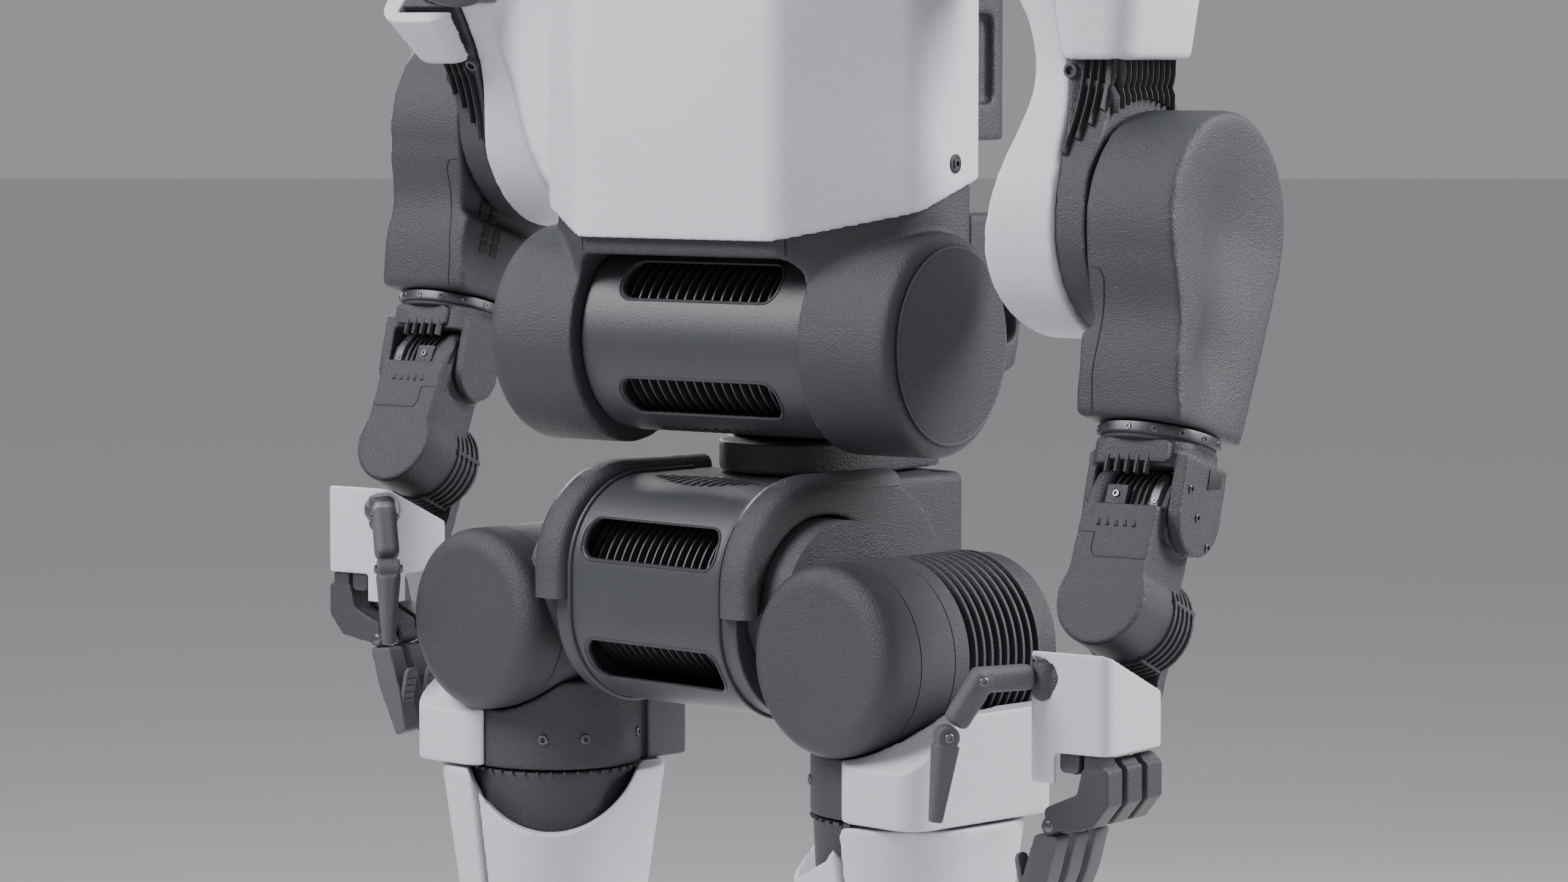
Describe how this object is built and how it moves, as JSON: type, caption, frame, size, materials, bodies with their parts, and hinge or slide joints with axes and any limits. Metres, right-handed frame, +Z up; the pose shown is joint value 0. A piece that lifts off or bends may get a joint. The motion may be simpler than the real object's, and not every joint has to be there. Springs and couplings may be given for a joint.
{
  "type": "humanoid robot",
  "caption": "Full-size humanoid robot with barrel waist and pelvis, jointed legs, arms and three-finger hands, standing free on two feet.",
  "frame": {"origin": "on the floor under the middle of the robot's bounding box", "axes": "+Z up, the robot faces -Y, its left side is +X; the torso is turned 10 degrees to its left on the waist bearing"},
  "size_m": [1.1096, 0.4456, 1.88],
  "materials": {
    "white_shell": "fine-grained matte",
    "dark_housing": "grained semi-matte",
    "satin_housing": "smooth satin",
    "metal": "dark anodised",
    "visor": "gloss",
    "sole": "matte rubber",
    "finger_pad": "matte"
  },
  "bodies": {
    "pelvis": {"pelvis_housing": "satin_housing", "pelvis_actuator": "metal", "pelvis_rear_housing": "dark_housing", "left_pelvis_side_cover": "dark_housing", "right_pelvis_side_cover": "dark_housing"},
    "waist": {"waist_bearing": "dark_housing", "waist_barrel": "satin_housing", "waist_actuator": "metal"},
    "torso": {"torso_frame": "dark_housing", "waist_end_caps": "dark_housing", "torso_core": "dark_housing", "torso_handles": "dark_housing", "torso_front_shell": "white_shell"},
    "neck": {"neck_post": "metal"},
    "head": {"head_shell": "white_shell", "head_visor": "visor"},
    "left_shoulder": {"left_shoulder_motor": "dark_housing"},
    "left_shoulder_yoke": {"left_shoulder_yoke": "dark_housing"},
    "left_upper_arm": {"left_upper_arm_strap": "white_shell", "left_upper_arm_frame": "dark_housing", "left_upper_arm_cover": "white_shell"},
    "left_forearm": {"left_forearm": "dark_housing"},
    "left_wrist_fork": {"left_wrist_fork": "dark_housing"},
    "left_wrist": {"left_wrist_housing": "dark_housing"},
    "left_hand": {"left_palm_shell": "white_shell", "left_palm_core": "dark_housing"},
    "left_thumb": {"left_thumb_proximal": "dark_housing"},
    "left_thumb_tip": {"left_thumb_distal": "finger_pad"},
    "left_fingers": {"left_fingers_proximal": "dark_housing"},
    "left_fingertips": {"left_fingers_distal": "finger_pad"},
    "left_hip": {"left_hip_motor": "dark_housing"},
    "left_hip_yoke": {"left_hip_yoke": "dark_housing", "left_upper_thigh_cover": "white_shell"},
    "left_thigh": {"left_thigh_core": "dark_housing", "left_thigh_shells": "white_shell"},
    "left_shin": {"left_shin": "dark_housing"},
    "left_ankle": {"left_ankle": "metal"},
    "left_foot": {"left_foot": "sole"},
    "right_shoulder": {"right_shoulder_motor": "dark_housing"},
    "right_shoulder_yoke": {"right_shoulder_yoke": "dark_housing"},
    "right_upper_arm": {"right_upper_arm_strap": "white_shell", "right_upper_arm_frame": "dark_housing", "right_upper_arm_cover": "white_shell"},
    "right_forearm": {"right_forearm": "dark_housing"},
    "right_wrist_fork": {"right_wrist_fork": "dark_housing"},
    "right_wrist": {"right_wrist_housing": "dark_housing"},
    "right_hand": {"right_palm_shell": "white_shell", "right_palm_core": "dark_housing"},
    "right_thumb": {"right_thumb_proximal": "dark_housing"},
    "right_thumb_tip": {"right_thumb_distal": "finger_pad"},
    "right_fingers": {"right_fingers_proximal": "dark_housing"},
    "right_fingertips": {"right_fingers_distal": "finger_pad"},
    "right_hip": {"right_hip_motor": "dark_housing"},
    "right_hip_yoke": {"right_hip_yoke": "dark_housing", "right_upper_thigh_cover": "white_shell"},
    "right_thigh": {"right_thigh_core": "dark_housing", "right_thigh_shells": "white_shell"},
    "right_shin": {"right_shin": "dark_housing"},
    "right_ankle": {"right_ankle": "metal"},
    "right_foot": {"right_foot": "sole"}
  },
  "joints": [
    {"name": "waist_yaw", "type": "hinge", "parent": "pelvis", "child": "waist", "pos_m": [-0.00798, 0.07718, 1.095], "axis": [0, 0, 1], "range_deg": [-40, 20]},
    {"name": "waist_pitch", "type": "hinge", "parent": "waist", "child": "torso", "pos_m": [0.01008, -0.02524, 1.226], "axis": [-0.9848, -0.1736, 0], "range_deg": [-10, 35]},
    {"name": "neck_yaw", "type": "hinge", "parent": "torso", "child": "neck", "pos_m": [0.00869, -0.01736, 1.648], "axis": [0, 0, 1], "range_deg": [-50, 50]},
    {"name": "head_pitch", "type": "hinge", "parent": "neck", "child": "head", "pos_m": [0.00869, -0.01736, 1.698], "axis": [-0.9848, -0.1736, 0], "range_deg": [-15, 15]},
    {"name": "left_shoulder_pitch", "type": "hinge", "parent": "torso", "child": "left_shoulder", "pos_m": [0.25489, 0.02605, 1.626], "axis": [-0.9848, -0.1736, 0], "range_deg": [-44, 120]},
    {"name": "left_shoulder_roll", "type": "hinge", "parent": "left_shoulder", "child": "left_shoulder_yoke", "pos_m": [0.34845, 0.04254, 1.626], "axis": [0.1736, -0.9848, 0], "range_deg": [-4, 75]},
    {"name": "left_upper_arm_yaw", "type": "hinge", "parent": "left_shoulder_yoke", "child": "left_upper_arm", "pos_m": [0.38784, 0.04949, 1.556], "axis": [0, 0, 1], "range_deg": [-40, 40]},
    {"name": "left_elbow", "type": "hinge", "parent": "left_upper_arm", "child": "left_forearm", "pos_m": [0.47942, 0.06564, 1.34], "axis": [-0.9848, -0.1736, 0], "range_deg": [-16, 90]},
    {"name": "left_forearm_roll", "type": "hinge", "parent": "left_forearm", "child": "left_wrist_fork", "pos_m": [0.48833, 0.01515, 1.16121], "axis": [-0.0479, 0.2714, 0.9613], "range_deg": [-60, 60]},
    {"name": "left_wrist_pitch", "type": "hinge", "parent": "left_wrist_fork", "child": "left_wrist", "pos_m": [0.49187, -0.00494, 1.09007], "axis": [-0.9848, -0.1736, 0], "range_deg": [-35, 12]},
    {"name": "left_wrist_swing", "type": "hinge", "parent": "left_wrist", "child": "left_hand", "pos_m": [0.49837, -0.04179, 1.00603], "axis": [-0.1586, 0.8997, -0.4067], "range_deg": [-18, 18]},
    {"name": "left_thumb_base", "type": "hinge", "parent": "left_hand", "child": "left_thumb", "pos_m": [0.49272, -0.12495, 0.958], "axis": [0, 0, 1], "range_deg": [-20, 25]},
    {"name": "left_thumb_tip", "type": "hinge", "parent": "left_thumb", "child": "left_thumb_tip", "pos_m": [0.44023, -0.20731, 0.908], "axis": [0.8192, -0.5736, 0], "range_deg": [-10, 35]},
    {"name": "left_fingers_base", "type": "hinge", "parent": "left_hand", "child": "left_fingers", "pos_m": [0.51221, 0.04096, 0.88], "axis": [0.1736, -0.9848, 0], "range_deg": [0, 60]},
    {"name": "left_fingertips", "type": "hinge", "parent": "left_fingers", "child": "left_fingertips", "pos_m": [0.46494, 0.03262, 0.828], "axis": [0.1736, -0.9848, 0], "range_deg": [-30, 25]},
    {"name": "left_hip_pitch", "type": "hinge", "parent": "pelvis", "child": "left_hip", "pos_m": [0.22852, -0.04882, 0.985], "axis": [-1, 0, 0], "range_deg": [-25, 90]},
    {"name": "left_hip_roll", "type": "hinge", "parent": "left_hip", "child": "left_hip_yoke", "pos_m": [0.22852, -0.04882, 0.948], "axis": [0, -1, 0], "range_deg": [-8, 20]},
    {"name": "left_hip_yaw", "type": "hinge", "parent": "left_hip_yoke", "child": "left_thigh", "pos_m": [0.22852, -0.03882, 0.801], "axis": [0, 0, -1], "range_deg": [-35, 25]},
    {"name": "left_knee", "type": "hinge", "parent": "left_thigh", "child": "left_shin", "pos_m": [0.22852, -0.03882, 0.53], "axis": [1, 0, 0], "range_deg": [0, 95]},
    {"name": "left_ankle_pitch", "type": "hinge", "parent": "left_shin", "child": "left_ankle", "pos_m": [0.22852, -0.03882, 0.098], "axis": [-1, 0, 0], "range_deg": [-35, 20]},
    {"name": "left_ankle_roll", "type": "hinge", "parent": "left_ankle", "child": "left_foot", "pos_m": [0.22852, -0.03882, 0.066], "axis": [0, -1, 0], "range_deg": [-12, 12]},
    {"name": "right_shoulder_pitch", "type": "hinge", "parent": "torso", "child": "right_shoulder", "pos_m": [-0.23752, -0.06078, 1.626], "axis": [-0.9848, -0.1736, 0], "range_deg": [0, 164]},
    {"name": "right_shoulder_roll", "type": "hinge", "parent": "right_shoulder", "child": "right_shoulder_yoke", "pos_m": [-0.33107, -0.07727, 1.626], "axis": [-0.1249, 0.7084, 0.6947], "range_deg": [0, 75]},
    {"name": "right_upper_arm_yaw", "type": "hinge", "parent": "right_shoulder_yoke", "child": "right_upper_arm", "pos_m": [-0.37891, -0.03633, 1.57565], "axis": [-0.1206, 0.6841, -0.7193], "range_deg": [0, 40]},
    {"name": "right_elbow", "type": "hinge", "parent": "right_upper_arm", "child": "right_forearm", "pos_m": [-0.49655, 0.09529, 1.42027], "axis": [-0.9848, -0.1736, 0], "range_deg": [-60, 46]},
    {"name": "right_forearm_roll", "type": "hinge", "parent": "right_forearm", "child": "right_wrist_fork", "pos_m": [-0.48765, 0.0448, 1.24147], "axis": [0.0479, -0.2714, -0.9613], "range_deg": [-8, 60]},
    {"name": "right_wrist_pitch", "type": "hinge", "parent": "right_wrist_fork", "child": "right_wrist", "pos_m": [-0.48411, 0.02471, 1.17034], "axis": [-0.9848, -0.1736, 0], "range_deg": [-35, 12]},
    {"name": "right_wrist_swing", "type": "hinge", "parent": "right_wrist", "child": "right_hand", "pos_m": [-0.47761, -0.01214, 1.0863], "axis": [0.1586, -0.8997, 0.4067], "range_deg": [-18, 6]},
    {"name": "right_thumb_base", "type": "hinge", "parent": "right_hand", "child": "right_thumb", "pos_m": [-0.44386, -0.08836, 1.03827], "axis": [0, 0, -1], "range_deg": [-20, 25]},
    {"name": "right_thumb_tip", "type": "hinge", "parent": "right_thumb", "child": "right_thumb_tip", "pos_m": [-0.36636, -0.1478, 0.98827], "axis": [-0.5736, -0.8192, 0], "range_deg": [-10, 35]},
    {"name": "right_fingers_base", "type": "hinge", "parent": "right_hand", "child": "right_fingers", "pos_m": [-0.51892, 0.06088, 0.96027], "axis": [-0.1736, 0.9848, 0], "range_deg": [0, 60]},
    {"name": "right_fingertips", "type": "hinge", "parent": "right_fingers", "child": "right_fingertips", "pos_m": [-0.47164, 0.06921, 0.90827], "axis": [-0.1736, 0.9848, 0], "range_deg": [-30, 25]},
    {"name": "right_hip_pitch", "type": "hinge", "parent": "pelvis", "child": "right_hip", "pos_m": [-0.24448, -0.04882, 0.985], "axis": [-1, 0, 0], "range_deg": [-25, 90]},
    {"name": "right_hip_roll", "type": "hinge", "parent": "right_hip", "child": "right_hip_yoke", "pos_m": [-0.24448, -0.04882, 0.948], "axis": [0, 1, 0], "range_deg": [-8, 20]},
    {"name": "right_hip_yaw", "type": "hinge", "parent": "right_hip_yoke", "child": "right_thigh", "pos_m": [-0.24448, -0.03882, 0.801], "axis": [0, 0, 1], "range_deg": [-35, 25]},
    {"name": "right_knee", "type": "hinge", "parent": "right_thigh", "child": "right_shin", "pos_m": [-0.24448, -0.03882, 0.53], "axis": [1, 0, 0], "range_deg": [0, 95]},
    {"name": "right_ankle_pitch", "type": "hinge", "parent": "right_shin", "child": "right_ankle", "pos_m": [-0.24448, -0.03882, 0.098], "axis": [-1, 0, 0], "range_deg": [-35, 20]},
    {"name": "right_ankle_roll", "type": "hinge", "parent": "right_ankle", "child": "right_foot", "pos_m": [-0.24448, -0.03882, 0.066], "axis": [0, 1, 0], "range_deg": [-12, 12]}
  ]
}
